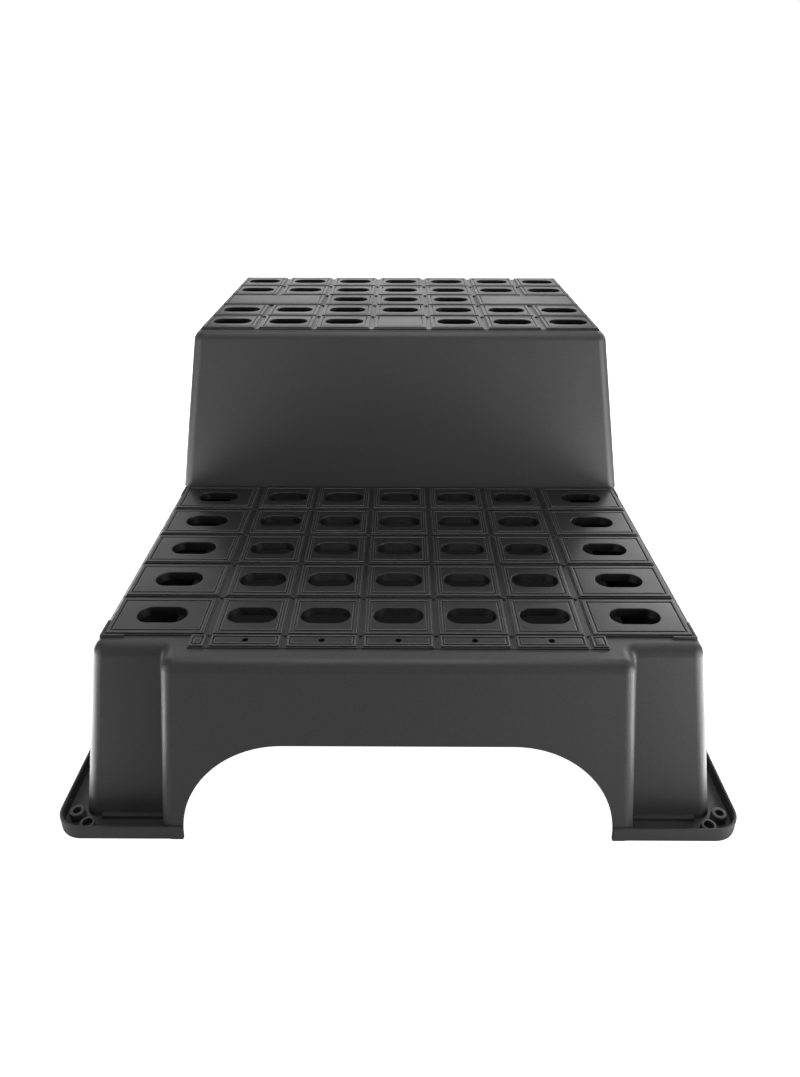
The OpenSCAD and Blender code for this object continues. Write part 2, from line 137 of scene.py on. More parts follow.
class SpaStepsTray(bpy.types.PropertyGroup):
    """Sizes of the tray round the foot"""

    floor: length("Tray floor", "Thickness of the tray's floor", 3.5)
    lip: length("Lip", "Thickness of the lip", 3)
    lip_height: length("Lip height", "Height of the lip above the ground", 17)
    lip_round: length("Lip round", "Round on top of the lip", 1.3)
    corner: length("Corner radius", "Radius of the tray's corners", 25)
    boss: length("Boss diameter", "Outer diameter of the corner bosses", 14.2)
    boss_height: length("Boss height", "Height of the bosses above the ground", 13.6)
    boss_rim: length("Boss rim", "Round on the rim of a boss", 0.8)
    boss_flare: length("Boss flare", "How much wider a boss is at its foot", 0.5)
    land: length("Land", "How far the low land stands out round a screw boss", 2.4)
    land_height: length("Land height", "Height of that land above the tray's floor", 1.2)
    land_edge: length("Land edge", "Chamfer on the rim of that land", 0.5)
    clear_height: length("Clear height", "A height that is clear above the bosses", 30)
    anchor_x: length("Anchor place X", "Anchor bore from the middle, across", 310.71)
    anchor_y: length("Anchor place Y", "Anchor bore from the middle, front to back", 397.26)
    anchor_bore: length("Anchor bore", "Diameter of the anchor bores", 8)
    screw_x: length("Screw place X", "Foot screw from the middle, across", 295.71)
    screw_y: length("Screw place Y", "Foot screw from the middle, front to back", 411.56)
    screw_bore: length("Screw bore", "Diameter of the recess for a screw's head", 9.8)
    screw_seat: length("Screw seat", "Height of a screw's seat above the tray's floor", 1)
    screw_head: length("Screw head", "Diameter of a foot screw's head", 9)
    screw_shank: length("Screw shank", "Diameter of a foot screw's shank", 4.5)
    shank_hole: length("Shank hole", "Diameter of the hole for that shank", 4.9)
    screw_socket: length("Screw socket", "Width over the corners of the socket in the head", 4)
    socket_depth: length("Socket depth", "Depth of that socket", 1.6)
    head_edge: length("Head edge", "Chamfer on the lower rim of the head", 0.2)
    shank_edge: length("Shank edge", "Chamfer on the shank's end", 0.3)
    toe_width: length("Toe ledge width", "Width of the low ledge at the foot of each leg", 3)
    toe_height: length("Toe ledge height", "Height of that ledge above the tray's floor", 4.5)
    toe_inner: length("Toe ledge inner end", "From the apron's side to the ledge's inner end", 17)
    toe_outer: length("Toe ledge outer end", "From a foot screw to the ledge's outer end", 9)
    toe_root: length("Toe ledge root", "How far the ledge reaches into the leg", 4)
    toe_round: length("Toe ledge round", "Round on top of the ledge", 0.7)


class SpaStepsTreads(bpy.types.PropertyGroup):
    """Sizes of the tread pads"""

    pitch_x: length("Pitch across", "Distance between pads across the tread", 69)
    pitch_y: length("Pitch along", "Distance between the rows of pads", 64)
    gap: length("Channel", "Channel between two pads", 7)
    wide_gap: length("Wide channel", "Channel beside the two wide pads", 9)
    web: length("Web", "Thickness of the web between a strip's pads", 0.6)
    plinth: length("Plinth height", "Height of the plinth round each pad", 1.5)
    plinth_edge: length("Plinth edge", "How far the plinth stands out round a pad", 1.2)
    band: length("Band", "Flat band between a pad's edge and its groove", 3.4)
    groove: length("Groove", "Width of the groove", 1.6)
    groove_depth: length("Groove depth", "Depth of the groove", 1.3)
    edge_round: length("Edge round", "Round on the pads' edges", 0.6)
    slot_length: length("Slot length", "Length of a drain slot", 47)
    slot_width: length("Slot width", "Width of a drain slot", 25.5)
    slot_round: length("Slot round", "Round on the rim of a slot", 0.9)
    slot_lip: length("Slot lip", "Depth of a slot's upper wall below the pad's top", 3.6)
    slot_step: length("Slot step", "How far the slot widens below its upper wall", 0.7)
    collar: length("Collar", "Thickness of the collar round each slot", 1.6)
    collar_room: length("Collar room", "Gap between a collar and the deck round it", 0.3)
    collar_reach: length("Collar reach", "How far a collar hangs below the deck's underside", 3)
    collar_edge: length("Collar edge", "Chamfer on a collar's lower edges", 0.4)
    snap: length("Snap bead", "How far the collar's snap bead stands out", 0.9)
    snap_drop: length("Snap bead place", "How far the bead lies below the deck's underside", 1.3)
    mark_length: length("Mark length", "Length of the raised corner marks", 22)
    mark_width: length("Mark width", "Width of the raised corner marks", 2.5)
    mark_height: length("Mark height", "Height of the raised corner marks", 2.2)
    mark_gap: length("Mark gap", "Gap between a corner mark and its pad", 0.2)
    mark_root: length("Mark root", "How far the corner marks reach into the deck", 3)
    mark_round: length("Mark round", "Round on top of the corner marks", 0.5)
    nosing_bore: length("Nosing bore", "Bore in the middle of each nosing bar", 5.5)
    bore_round: length("Bore round", "Round on the rim of a nosing bore", 0.5)
    nosing_band: length("Nosing band", "Flat band between a nosing bar's edge and its groove", 1.6)
    end_square: length("End square", "Width of the small square at each end of the nosing", 13)


class SpaStepsFinish(bpy.types.PropertyGroup):
    """Colours and surface of the materials"""

    shell: colour("Shell", "Colour of the moulded shells", (0.058, 0.058, 0.058))
    tread: colour("Tread", "Colour of the tread strips", (0.022, 0.022, 0.022))
    painted_highlight: colour("Worn edges", "Colour of the worn edges of the pads", (0.14, 0.14, 0.14))
    # Painted highlight: the pads' rounded edges get this paler colour
    rubber: colour("Rubber", "Colour of the feet", (0.012, 0.012, 0.012))
    steel: colour("Steel", "Colour of the blackened steel", (0.16, 0.16, 0.165))
    shell_roughness: share("Shell roughness", "Roughness of the shells", 0.46)
    tread_roughness: share("Tread roughness", "Roughness of the tread strips", 0.35)
    painted_highlight_roughness: share("Worn roughness", "Roughness of the worn edges", 0.3)
    coarse: length("Coarse grain depth", "Depth of the coarse grain on the upper tread", 0.22)
    shell_depth: length("Shell grain depth", "Depth of the grain on the shells", 0.1)
    tread_depth: length("Tread grain depth", "Depth of the grain on the lower tread", 0.09)
    painted_highlight_depth: length("Worn grain depth", "Depth of the grain on the worn edges", 0.03)
    rubber_depth: length("Rubber grain depth", "Depth of the grain on the rubber feet", 0.05)
    steel_depth: length("Steel mark depth", "Depth of the fine marks on the steel", 0.01)
    grain: length("Grain", "Size of the grain on the shells and the worn edges", 0.9)
    tread_grain: length("Tread grain", "Size of the grain on the lower tread", 0.99)
    coarse_grain: length("Coarse grain", "Size of the coarse grain on the upper tread", 1.44)
    rubber_grain: length("Rubber grain", "Size of the grain on the rubber", 0.6)
    steel_grain: length("Steel grain", "Size of the fine marks on the steel", 0.5)
    rubber_roughness: share("Rubber roughness", "Roughness of the feet", 0.75)
    steel_roughness: share("Steel roughness", "Roughness of the screws and bolts", 0.36)


class SpaStepsStage(bpy.types.PropertyGroup):
    """Camera, floor and light"""

    camera_place: bpy.props.FloatVectorProperty(
        name="Camera place", description="Where the camera stands", unit="LENGTH",
        default=(0.0027, -0.9285, 0.6072),
    )
    camera_pitch: angle("Camera pitch", "How far the camera looks down", 28.82)
    camera_turn: angle("Camera turn", "How far the camera looks to the left", 0.14)
    camera_roll: angle("Camera roll", "How far the camera leans", 0.13)
    lens: bpy.props.FloatProperty(name="Lens", description="Focal length in mm", default=25.97)
    floor_size: length("Floor size", "Width of the floor", 12000)
    # Painted shade: size and place of the dark sheet under the steps
    painted_shade_inset: length("Mat inset", "How far the mat's sides lie inside the tray's", 5)
    painted_shade_front: length("Mat front", "How far the mat reaches forward of the middle of the steps", 240)
    painted_shade_thick: length("Mat thickness", "Thickness of the mat", 0.5)
    sky: share("Sky", "Strength of the even light from all round", 0.02, 10)
    floor_white: share("Floor white", "How white the lit floor is to the camera", 1, 10)
    # Painted shade: how grey the dark sheet under the steps looks to the camera
    painted_shade_grey: share("Mat grey", "How grey the dark mat under the steps is to the camera", 0.008)
    floor_glow: share("Floor glow", "How much light the floor gives the object", 0, 10)
    brightness: share("Brightness", "Multiplies the power of all the lights", 1, 10)


# Soft boxes that look at the steps: name, place, width, height and power in watts
SOFT_BOXES = (
    ("top_light", (0, 0, 1.99), 1.3, 1.3, 14),
    ("right_back_light", (1.28, 1.28, 1.03), 1.3, 1.3, 17),
    ("back_light", (0, 1.81, 1.03), 1.3, 1.3, 7),
    ("front_light", (0, -1.81, 1.03), 1.3, 1.3, 2),
    ("left_back_light", (-1.28, 1.28, 1.03), 1.3, 1.3, 7),
    ("low_left_light", (-1.29, -0.75, 0.32), 0.8, 0.6, 4),
    ("low_right_light", (1.29, -0.75, 0.32), 0.8, 0.6, 10),
)
# Height of the flat panels above the floor
PANEL_HEIGHT = 2 * MM
# Flat panels that lie beside the steps and shine upwards: name, place, width and power in watts
FLOOR_PANELS = (
    ("left_panel", (-0.62, -0.2), 0.5, 6),
    ("left_back_panel", (-0.62, 0.3), 0.5, 6),
    ("right_panel", (0.62, -0.2), 0.5, 6),
    ("right_front_panel", (0.75, -0.72), 0.5, 3),
)

SETTINGS = {
    "spa_steps_shells": SpaStepsShells,
    "spa_steps_tray": SpaStepsTray,
    "spa_steps_treads": SpaStepsTreads,
    "spa_steps_finish": SpaStepsFinish,
    "spa_steps_stage": SpaStepsStage,
}


# Making and joining meshes

def new_object(name, bm):
    """Makes a bmesh into a mesh object at the origin, and frees it."""
    mesh = bpy.data.meshes.new(name)
    bm.to_mesh(mesh)
    bm.free()
    piece = bpy.data.objects.new(name, mesh)
    bpy.context.scene.collection.objects.link(piece)
    return piece


def close_up(bm):
    """Merges doubles and turns every face outwards."""
    bmesh.ops.remove_doubles(bm, verts=bm.verts[:], dist=TINY)
    bmesh.ops.dissolve_degenerate(bm, edges=bm.edges[:], dist=TINY)
    bmesh.ops.recalc_face_normals(bm, faces=bm.faces[:])
    return bm


def round_edges(bm, edges, radius, segments, material=-1):
    """Bevels edges to a round, which may take a material of its own."""
    if edges:
        bmesh.ops.bevel(
            bm, geom=edges, offset=radius, offset_type="OFFSET", segments=segments,
            profile=0.5, affect="EDGES", clamp_overlap=False, material=material,
        )


def combine(body, tools, operation):
    """Joins tool objects to a body object, or cuts them out of it, and removes the tools."""
    group = bpy.data.collections.new("tools")
    bpy.context.scene.collection.children.link(group)
    for tool in tools:
        group.objects.link(tool)
    modifier = body.modifiers.new("combine", "BOOLEAN")
    modifier.operand_type = "COLLECTION"
    modifier.collection = group
    modifier.solver = "EXACT"
    modifier.operation = operation
    bpy.context.view_layer.update()
    evaluated = body.evaluated_get(bpy.context.evaluated_depsgraph_get())
    mesh = bpy.data.meshes.new_from_object(evaluated)
    if not mesh.polygons:
        raise RuntimeError(f"{body.name}: nothing is left after {operation.lower()}")
    body.modifiers.clear()
    body.data = mesh
    for tool in tools:
        bpy.data.objects.remove(tool)
    bpy.data.collections.remove(group)
    return body


def finish_piece(piece, materials, slot, *nodes):
    """Shades a piece, gives it its materials and ties it to the frame."""
    mesh = piece.data
    mesh.name = piece.name
    for material in materials:
        mesh.materials.append(material)
    mesh.shade_smooth()
    mesh.set_sharp_from_angle(angle=CREASE)
    evened = piece.modifiers.new("Even shading", "WEIGHTED_NORMAL")
    evened.keep_sharp = True
    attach(piece, "root")
    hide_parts(*nodes)
    return piece


def box_between(low, high):
    """A closed box between two corners."""
    bm = bmesh.new()
    low = Vector(low)
    high = Vector(high)
    place = Matrix.Translation((low + high) / 2) @ Matrix.Diagonal((*(high - low), 1))
    bmesh.ops.create_cube(bm, size=1, matrix=place)
    return bm


def upright_edges(bm):
    """The edges that run from the bottom to the top of a block."""
    return [e for e in bm.edges if abs(e.verts[0].co.z - e.verts[1].co.z) > TINY]


def edges_at(bm, height):
    """The edges that lie at one height."""
    return [e for e in bm.edges if all(abs(v.co.z - height) < TINY for v in e.verts)]


def rounded_slab(low, high, radius, segments=10):
    """A slab with rounded upright edges."""
    bm = box_between(low, high)
    round_edges(bm, upright_edges(bm), radius, segments)
    return bm


def post(place, diameter, low, high, segments=32):
    """An upright cylinder."""
    bm = bmesh.new()
    middle = Matrix.Translation((place[0], place[1], (low + high) / 2))
    bmesh.ops.create_cone(
        bm, cap_ends=True, segments=segments, radius1=diameter / 2, radius2=diameter / 2,
        depth=high - low, matrix=middle,
    )
    return bm


def bore(place, diameter, low, high, segments=32):
    """A cutter for a round hole."""
    return new_object("bore", post(place, diameter, low, high, segments))


def turned(bm, profile, place, segments=32):
    """Spins an outline of (radius, height) points about an upright axis.

    The outline may start and end on the axis."""
    verts = [bm.verts.new((place[0] + r, place[1], z)) for r, z in profile]
    pairs = list(zip(verts, verts[1:]))
    if profile[0][0] > TINY:
        pairs.append((verts[-1], verts[0]))
    edges = [bm.edges.new(pair) for pair in pairs]
    bmesh.ops.spin(
        bm, geom=verts + edges, cent=(place[0], place[1], 0), axis=(0, 0, 1),
        angle=FULL_TURN, steps=segments, use_merge=True, use_duplicate=False,
    )


def corners_of(x, y):
    """The same place in all four corners."""
    return [(sx * x, sy * y) for sx in (-1, 1) for sy in (-1, 1)]


# Shells

def drafted_block(corners, low, high, segments):
    """A block whose walls lean out towards its foot.

    Each corner is (x, y, side angle, end angle, radius) at the block's top, going round it.
    The angles are signed, so that a wall leans out to its own side."""
    bm = bmesh.new()
    top = bm.faces.new([bm.verts.new((x, y, high)) for x, y, _, _, _ in corners])
    grown = bmesh.ops.extrude_face_region(bm, geom=[top])
    feet = [g for g in grown["geom"] if isinstance(g, bmesh.types.BMVert)]
    lean = {(round(x, 6), round(y, 6)): (a, b) for x, y, a, b, _ in corners}
    for foot in feet:
        a, b = lean[(round(foot.co.x, 6), round(foot.co.y, 6))]
        foot.co += Vector((math.tan(a), math.tan(b), -1)) * (high - low)
    bmesh.ops.recalc_face_normals(bm, faces=bm.faces[:])
    for radius in sorted({c[4] for c in corners}):
        places = [(x, y) for x, y, _, _, r in corners if r == radius]
        edges = [
            e for e in upright_edges(bm)
            if any((v.co.xy - Vector(p)).length < TINY for v in e.verts for p in places)
        ]
        round_edges(bm, edges, radius, segments)
    return bm


def round_top(bm, high, radius, draft, segments):
    """Rounds a drafted block's top edge to a true radius."""
    round_edges(bm, edges_at(bm, high), radius / math.tan((math.pi / 2 + draft) / 2), segments)
    return bm


def inner_corners(corners, shells):
    """The corners of the room inside a block's walls, at the underside of its deck."""
    inside = []
    for x, y, a, b, radius in corners:
        shift_x = shells.wall / math.cos(a) - shells.deck * math.tan(abs(a))
        shift_y = shells.wall / math.cos(b) - shells.deck * math.tan(abs(b))
        if radius == shells.fillet_radius:
            inner_radius = radius + shells.wall
        else:
            inner_radius = radius - shells.wall
        inside.append((x - math.copysign(shift_x, a), y - math.copysign(shift_y, b), a, b, inner_radius))
    return inside


def base_corners(shells):
    """The plan of the lower shell at its deck: two legs, the apron between them and the back."""
    side = UPPER_HIGH.x
    end = UPPER_HIGH.y
    apron = shells.apron_half
    front = -end - shells.apron_proud
    s = shells.draft
    t = shells.apron_draft
    r = shells.edge_radius
    f = shells.fillet_radius
    return [
        (side, -end, s, -s, r),
        (side, end, s, s, r),
        (-side, end, -s, s, r),
        (-side, -end, -s, -s, r),
        (-apron, -end, -t, -s, f),
        (-apron, front, -t, -s, r),
        (apron, front, t, -s, r),
        (apron, -end, t, -s, f),
    ]


def upper_corners(shells):
    """The plan of the upper shell at its deck."""
    run = (UPPER_DECK - LOWER_DECK) * math.tan(shells.draft)
    side = UPPER_HIGH.x - run
    front = UPPER_LOW.y + run
    back = UPPER_HIGH.y - run
    s = shells.draft
    r = shells.edge_radius
    return [
        (side, front, s, -s, r), (side, back, s, s, r), (-side, back, -s, s, r), (-side, front, -s, -s, r)
    ]


def inner_columns(treads):
    """Middles of the five narrow pads of the lower tread."""
    return [i * treads.pitch_x for i in range(-2, 3)]


def upper_columns(treads):
    """Middles of the seven pads of the upper tread."""
    return [i * treads.pitch_x for i in range(-3, 4)]


def wide_pad(treads):
    """Middle and width of the wide pad at the right of the lower tread."""
    _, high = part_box("lower_tread_strip_1")
    inner = 2.5 * treads.pitch_x - treads.gap / 2 + treads.wide_gap
    outer = high.x - treads.plinth_edge
    return (inner + outer) / 2, outer - inner


def lower_columns(treads):
    """Middles of the seven pads of the lower tread."""
    middle, _ = wide_pad(treads)
    return [-middle, *inner_columns(treads), middle]


def row_middle(node):
    """Middle of a tread strip, front to back."""
    low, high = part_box(node)
    return (low.y + high.y) / 2


def lower_channels(treads):
    """Middles of the channels between the columns of the lower tread."""
    half = 2.5 * treads.pitch_x - treads.gap / 2 + treads.wide_gap / 2
    return [-half, *(i * treads.pitch_x for i in (-1.5, -0.5, 0.5, 1.5)), half]


def upper_channels(treads):
    """Middles of the channels between the columns of the upper tread."""
    return [i * treads.pitch_x for i in (-2.5, -1.5, -0.5, 0.5, 1.5, 2.5)]


def row_channels(storey, treads):
    """Middles of the channels between the rows of one tread."""
    first = row_middle(f"{storey}_tread_strip_1")
    return [first + (i + 0.5) * treads.pitch_y for i in range(4)]


def slot_cutters(xs, y, deck, shells, treads):
    """Cutters for the holes that the collars of one row go through."""
    spare = 2 * (treads.collar + treads.collar_room)
    high = deck + 2 * CLEAR
    low = deck - shells.deck - CLEAR
    cutters = []
    for x in xs:
        bm = bmesh.new()
        ring = stadium(bm, x, y, high, treads.slot_length + spare, treads.slot_width + spare)
        top = bmesh.ops.edgeloop_fill(bm, edges=ring)["faces"]
        grown = bmesh.ops.extrude_face_region(bm, geom=top)
        moved = [g for g in grown["geom"] if isinstance(g, bmesh.types.BMVert)]
        bmesh.ops.translate(bm, verts=moved, vec=(0, 0, low - high))
        cutters.append(new_object("slot_cutter", close_up(bm)))
    return cutters


def ribs(xs, ys, low, high, deck, shells):
    """A grid of ribs under a deck, between two corners of its plan."""
    top = deck - shells.deck / 2
    under = deck - shells.deck
    half = shells.rib / 2
    made = []
    foot = under - shells.rib_depth
    for x in xs:
        made.append(box_between((x - half, low[1], foot), (x + half, high[1], top)))
    foot = under - shells.cross_rib_depth
    for y in ys:
        made.append(box_between((low[0], y - half, foot), (high[0], y + half, top)))
    return [new_object("rib", bm) for bm in made]


def studs(xs, ys, deck, shells):
    """Small domed studs on a deck, where its channels cross."""
    r = shells.stud
    top = deck + shells.stud_height
    low = deck - CLEAR
    outline = [(0, top), (0.5 * r, top), (0.87 * r, top - 0.35 * r), (r, top - r), (1.2 * r, low), (0, low)]
    made = []
    for x in xs:
        for y in ys:
            bm = bmesh.new()
            turned(bm, outline, (x, y), 12)
            made.append(new_object("stud", close_up(bm)))
    return made


def ledge_plan(shells):
    """Corners of the opening between the two storeys."""
    low = Vector((-UPPER_HIGH.x + shells.ledge, UPPER_LOW.y + shells.ledge))
    high = Vector((UPPER_HIGH.x - shells.ledge, UPPER_HIGH.y - shells.ledge))
    return low, high


def ledge_cutter(shells, low_z, high_z):
    """The opening inside the ledge, as a cutter."""
    low, high = ledge_plan(shells)
    return new_object("ledge_cutter", rounded_slab((*low, low_z), (*high, high_z), shells.ledge_corner, 8))


def bolt_places(shells):
    """Where the 14 bolts between the storeys stand, as in the frame."""
    low, high = ledge_plan(shells)
    out = shells.bolt_share * shells.ledge
    x = high.x + out
    y0 = low.y - out
    y1 = high.y + out
    across = x - shells.ledge_corner
    along0 = y0 + shells.bolt_inset
    along1 = y1 - shells.bolt_inset
    ends = [(-across + 2 * across * i / 3, y) for y in (y0, y1) for i in range(4)]
    sides = [(sx * x, along0 + (along1 - along0) * i / 2) for sx in (-1, 1) for i in range(3)]
    return ends + sides


def tray_solid(tray):
    """The tray with its lip, as one closed solid."""
    low = (BASE_LOW.x, BASE_LOW.y, BASE_LOW.z)
    high = (BASE_HIGH.x, BASE_HIGH.y, tray.lip_height)
    bm = rounded_slab(low, high, tray.corner, 12)
    top = max(bm.faces, key=lambda f: f.calc_center_median().z)
    bmesh.ops.inset_region(bm, faces=[top], thickness=tray.lip, use_even_offset=True)
    grown = bmesh.ops.extrude_face_region(bm, geom=[top])
    if top.is_valid:
        bmesh.ops.delete(bm, geom=[top], context="FACES_ONLY")
    moved = [g for g in grown["geom"] if isinstance(g, bmesh.types.BMVert)]
    bmesh.ops.translate(bm, verts=moved, vec=(0, 0, BASE_LOW.z + tray.floor - tray.lip_height))
    bmesh.ops.recalc_face_normals(bm, faces=bm.faces[:])
    round_edges(bm, edges_at(bm, tray.lip_height), tray.lip_round, 4)
    round_edges(bm, edges_at(bm, BASE_LOW.z), tray.lip_round, 3)
    return new_object("tray", bm)


def boss(place, tray):
    """A boss in a corner of the tray, with a rounded rim."""
    r = tray.boss / 2
    top = tray.boss_height
    low = BASE_LOW.z + tray.floor / 2
    rim = tray.boss_rim
    outline = [
        (0, top), (r - rim, top), (r - 0.3 * rim, top - 0.3 * rim), (r, top - rim),
        (r + tray.boss_flare, low), (0, low),
    ]
    bm = bmesh.new()
    turned(bm, outline, place, 40)
    return new_object("boss", close_up(bm))


def ring_land(place, tray):
    """The low round land on the tray's floor round a boss."""
    r = tray.boss / 2 + tray.land
    top = BASE_LOW.z + tray.floor + tray.land_height
    low = BASE_LOW.z + tray.floor / 2
    edge = tray.land_edge
    bm = bmesh.new()
    turned(bm, [(0, top), (r - edge, top), (r, top - edge), (r, low), (0, low)], place, 40)
    return new_object("land", close_up(bm))


def corner_marks(treads):
    """Raised angles at the outer corners of the wide pads."""
    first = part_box("lower_tread_strip_1")
    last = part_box("lower_tread_strip_5")
    gap = treads.mark_gap
    x = first[1].x + gap
    low_z = LOWER_DECK - treads.mark_root
    high_z = LOWER_DECK + treads.mark_height
    made = []
    for side in (-1, 1):
        for y, end in ((first[0].y - gap, -1), (last[1].y + gap, 1)):
            far = x + treads.mark_width
            spans = [
                ((x, y + end * treads.mark_width), (far, y - end * treads.mark_length)),
                ((far, y + end * treads.mark_width), (far - treads.mark_length, y)),
            ]
            for (xa, ya), (xb, yb) in spans:
                xs = sorted((side * xa, side * xb))
                ys = sorted((ya, yb))
                bm = box_between((xs[0], ys[0], low_z), (xs[1], ys[1], high_z))
                round_edges(bm, edges_at(bm, high_z), treads.mark_round, 2)
                made.append(new_object("mark", bm))
    return made


def toe_ledges(shells, tray):
    """The low ledge along the foot of each leg's front."""
    foot = -UPPER_HIGH.y - LOWER_DECK * math.tan(shells.draft)
    inner = shells.apron_half + tray.toe_inner
    outer = tray.screw_x - tray.toe_outer
    top = BASE_LOW.z + tray.floor + tray.toe_height
    made = []
    for side in (-1, 1):
        xs = sorted((side * inner, side * outer))
        low = (xs[0], foot - tray.toe_width, BASE_LOW.z + tray.floor / 2)
        bm = box_between(low, (xs[1], foot + tray.toe_root, top))
        round_edges(bm, edges_at(bm, top), tray.toe_round, 3)
        made.append(new_object("toe_ledge", bm))
    return made


def arch_cutter(shells):
    """The arch through the apron, the lip and the tray."""
    low = (-shells.arch_half, BASE_LOW.y - CLEAR, -CLEAR)
    high = (shells.arch_half, -UPPER_HIGH.y, shells.arch_height)
    bm = box_between(low, high)
    shoulders = [
        e for e in edges_at(bm, shells.arch_height) if abs(e.verts[0].co.y - e.verts[1].co.y) > TINY
    ]
    round_edges(bm, shoulders, shells.arch_radius, 28)
    return new_object("arch_cutter", bm)


def round_arch_rim(piece, shells):
    """Rounds the sharp rim of the arch, and the ends of the lip beside it."""
    bm = bmesh.new()
    bm.from_mesh(piece.data)
    close_up(bm)
    reach = shells.arch_half + TINY
    sharp = math.radians(40)
    edges = []
    for e in bm.edges:
        middle = (e.verts[0].co + e.verts[1].co) / 2
        near = abs(middle.x) < reach and middle.z < shells.arch_height + TINY
        if near and middle.y < -UPPER_HIGH.y and e.is_manifold and e.calc_face_angle() > sharp:
            edges.append(e)
    round_edges(bm, edges, shells.rim, 3)
    bm.to_mesh(piece.data)
    bm.free()


def make_base_shell(scene):
    """The lower storey, made solid and then hollowed, arched and drilled."""
    shells = scene.spa_steps_shells
    tray = scene.spa_steps_tray
    treads = scene.spa_steps_treads
    corners = base_corners(shells)
    block = drafted_block(corners, BASE_LOW.z, LOWER_DECK, 8)
    round_top(block, LOWER_DECK, shells.edge_radius, shells.draft, 8)
    piece = new_object("base_moulding", close_up(block))
    rows = [row_middle(f"lower_tread_strip_{row}") for row in TREAD_ROWS]
    cross_y = row_channels("lower", treads)
    anchors = corners_of(tray.anchor_x, tray.anchor_y)
    screws = corners_of(tray.screw_x, tray.screw_y)
    extras = [tray_solid(tray)]
    extras += [ring_land(p, tray) for p in screws]
    extras += [boss(p, tray) for p in anchors + screws]
    extras += corner_marks(treads) + toe_ledges(shells, tray)
    front_gap = (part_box("nosing_strip")[1].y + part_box("lower_tread_strip_1")[0].y) / 2
    extras += studs(lower_channels(treads), [front_gap, *cross_y], LOWER_DECK, shells)
    combine(piece, extras, "UNION")

    under = LOWER_DECK - shells.deck
    room = drafted_block(inner_corners(corners, shells), -CLEAR, under, 8)
    round_top(room, under, shells.edge_radius - shells.wall, shells.draft, 6)
    combine(piece, [new_object("room", close_up(room))], "DIFFERENCE")
    ledge_low, _ = ledge_plan(shells)
    half = UPPER_HIGH.x - shells.rib_end
    front = -UPPER_HIGH.y - shells.apron_proud + shells.rib_end
    back = ledge_low.y - CLEAR
    long_ribs = ribs(lower_channels(treads)[1:-1], [], (0, front), (0, back), LOWER_DECK, shells)
    combine(piece, long_ribs, "UNION")
    combine(piece, ribs([], cross_y, (-half, 0), (half, 0), LOWER_DECK, shells), "UNION")
    cutters = [arch_cutter(shells), ledge_cutter(shells, under - shells.ledge_cut, LOWER_DECK + CLEAR)]
    for y in rows:
        cutters += slot_cutters(lower_columns(treads), y, LOWER_DECK, shells, treads)
    for place in bolt_places(shells):
        cutters.append(bore(place, shells.bolt_hole, under - CLEAR, LOWER_DECK + CLEAR, 20))
    for x in inner_columns(treads):
        place = (x, row_middle("nosing_strip"))
        cutters.append(bore(place, treads.nosing_bore, under - CLEAR, LOWER_DECK + CLEAR))
    above = tray.clear_height
    for place in anchors:
        cutters.append(bore(place, tray.anchor_bore, -CLEAR, above, 40))
    seat = BASE_LOW.z + tray.floor + tray.screw_seat
    for place in screws:
        cutters.append(bore(place, tray.screw_bore, seat, above, 40))
        cutters.append(bore(place, tray.shank_hole, -CLEAR, above, 24))
    combine(piece, cutters, "DIFFERENCE")
    round_arch_rim(piece, shells)
    return piece


def make_upper_shell(scene):
    """The upper storey, which stands on the lower one."""
    shells = scene.spa_steps_shells
    treads = scene.spa_steps_treads
    corners = upper_corners(shells)
    block = drafted_block(corners, LOWER_DECK, UPPER_DECK, 8)
    round_top(block, UPPER_DECK, shells.edge_radius, shells.draft, 8)
    piece = new_object("upper_moulding", close_up(block))
    cross_y = row_channels("upper", treads)
    combine(piece, studs(upper_channels(treads), cross_y, UPPER_DECK, shells), "UNION")
    under = UPPER_DECK - shells.deck
    flange = LOWER_DECK + shells.deck
    room = drafted_block(inner_corners(corners, shells), flange, under, 8)
    round_top(room, under, shells.edge_radius - shells.wall, shells.draft, 6)
    combine(piece, [new_object("room", close_up(room))], "DIFFERENCE")
    side = corners[0][0] - shells.rib_end
    low = (-side, corners[0][1] + shells.rib_end)
    high = (side, corners[1][1] - shells.rib_end)
    combine(piece, ribs(upper_channels(treads), [], low, high, UPPER_DECK, shells), "UNION")
    combine(piece, ribs([], cross_y, low, high, UPPER_DECK, shells), "UNION")
    cutters = [ledge_cutter(shells, LOWER_DECK - CLEAR, flange + CLEAR)]
    for row in TREAD_ROWS:
        columns = [x for x, _, slotted in upper_row(row, treads) if slotted]
        cutters += slot_cutters(columns, row_middle(f"upper_tread_strip_{row}"), UPPER_DECK, shells, treads)
    for place in bolt_places(shells):
        cutters.append(bore(place, shells.bolt_hole, LOWER_DECK - CLEAR, flange + CLEAR, 20))
    return combine(piece, cutters, "DIFFERENCE")


# Tread strips

def stadium(bm, x, y, z, long, wide, steps=28):
    """Makes a level loop with straight sides and round ends, and returns its edges."""
    made = bmesh.ops.create_circle(
        bm, segments=steps, radius=wide / 2,
        matrix=Matrix.Translation((x, y, z)) @ Matrix.Rotation(math.pi / steps, 4, "Z"),
    )
    for v in made["verts"]:
        v.co.x += math.copysign((long - wide) / 2, v.co.x - x)
    return list({e for v in made["verts"] for e in v.link_edges})


def quarter_round(radius, steps):
    """Points (out, down) of a quarter round, from its flat start to its upright end."""
    turns = [math.pi / 2 * i / steps for i in range(steps + 1)]
    return [(radius * (1 - math.sin(a)), radius * (1 - math.cos(a))) for a in turns]


